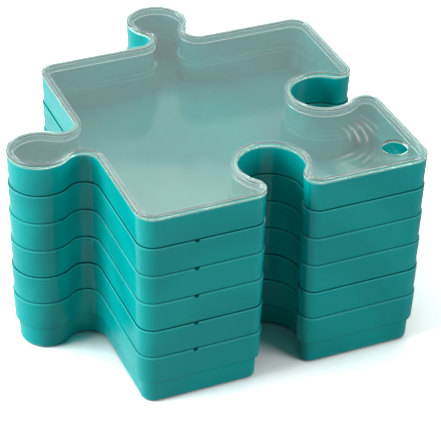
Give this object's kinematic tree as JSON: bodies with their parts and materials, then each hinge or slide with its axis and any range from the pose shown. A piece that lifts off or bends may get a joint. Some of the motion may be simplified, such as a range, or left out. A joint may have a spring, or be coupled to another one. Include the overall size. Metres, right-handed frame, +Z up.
{
  "type": "stackable jigsaw puzzle sorting tray set",
  "caption": "Stack of nesting jigsaw-piece-shaped puzzle sorting trays with round nubs and sockets, under a flat clear lid with a finger hole.",
  "frame": {"origin": "on the surface that the stack stands on, under the middle of the outline's box", "axes": "+Z up; the nubs stand out towards -X and +Y and the sockets open towards -Y and +X; the vents in the rims are on the -Y side"},
  "size_m": [0.2528, 0.2528, 0.1491],
  "materials": {
    "tray_plastic": "smooth injection-moulded teal plastic, glossy",
    "lid_plastic": "smooth see-through natural plastic, slightly milky"
  },
  "bodies": {
    "tray_1": {"tray_1": "tray_plastic"},
    "tray_2": {"tray_2": "tray_plastic"},
    "tray_3": {"tray_3": "tray_plastic"},
    "tray_4": {"tray_4": "tray_plastic"},
    "tray_5": {"tray_5": "tray_plastic"},
    "tray_6": {"tray_6": "tray_plastic"},
    "lid": {"lid": "lid_plastic"}
  },
  "joints": [
    {"name": "tray_2_lift", "type": "slide", "parent": "tray_1", "child": "tray_2", "axis": [0, 0, 1], "range_m": [0, 0.06]},
    {"name": "tray_3_lift", "type": "slide", "parent": "tray_2", "child": "tray_3", "axis": [0, 0, 1], "range_m": [0, 0.06]},
    {"name": "tray_4_lift", "type": "slide", "parent": "tray_3", "child": "tray_4", "axis": [0, 0, 1], "range_m": [0, 0.06]},
    {"name": "tray_5_lift", "type": "slide", "parent": "tray_4", "child": "tray_5", "axis": [0, 0, 1], "range_m": [0, 0.06]},
    {"name": "tray_6_lift", "type": "slide", "parent": "tray_5", "child": "tray_6", "axis": [0, 0, 1], "range_m": [0, 0.06]},
    {"name": "lid_lift", "type": "slide", "parent": "tray_6", "child": "lid", "axis": [0, 0, 1], "range_m": [0, 0.06]}
  ]
}
